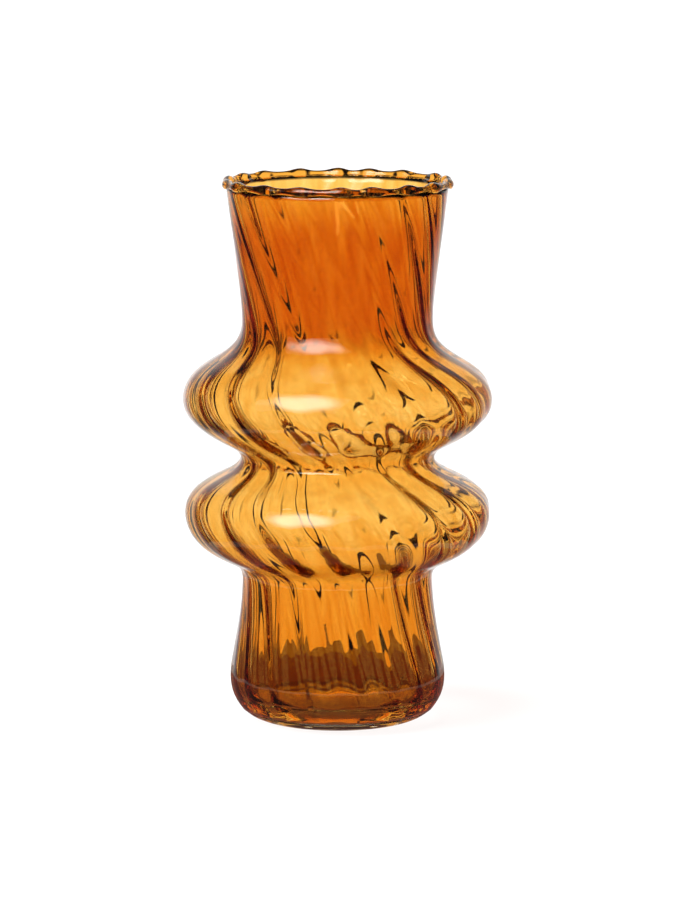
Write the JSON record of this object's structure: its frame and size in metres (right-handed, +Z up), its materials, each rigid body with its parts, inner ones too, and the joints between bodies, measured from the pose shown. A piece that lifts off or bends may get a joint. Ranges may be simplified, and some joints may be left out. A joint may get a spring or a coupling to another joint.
{
  "type": "vase",
  "caption": "Blown glass vase with pinched waists between round bulges, a flared neck, a beaded lip and a thick clear foot, in amber glass cased with clear glass.",
  "frame": {"origin": "centre of the resting ring, on the surface that the vase stands on", "axes": "+Z up along the axis of the vase, from foot to mouth; the solids are round, so X and Y are free"},
  "size_m": [0.1416, 0.1416, 0.25],
  "materials": {
    "clear_glass": "fire-polished clear casing with faint optic ribs",
    "amber_glass": "transparent honey amber, deeper where the wall is thick",
    "pad_glass": "thick clear glass, ground and polished underneath",
    "lip_glass": "fire-polished amber thread with soft swellings"
  },
  "bodies": {
    "root": {"clear_casing": "clear_glass", "amber_lining": "amber_glass", "base_pad": "pad_glass", "lip_bead": "lip_glass"}
  },
  "joints": []
}
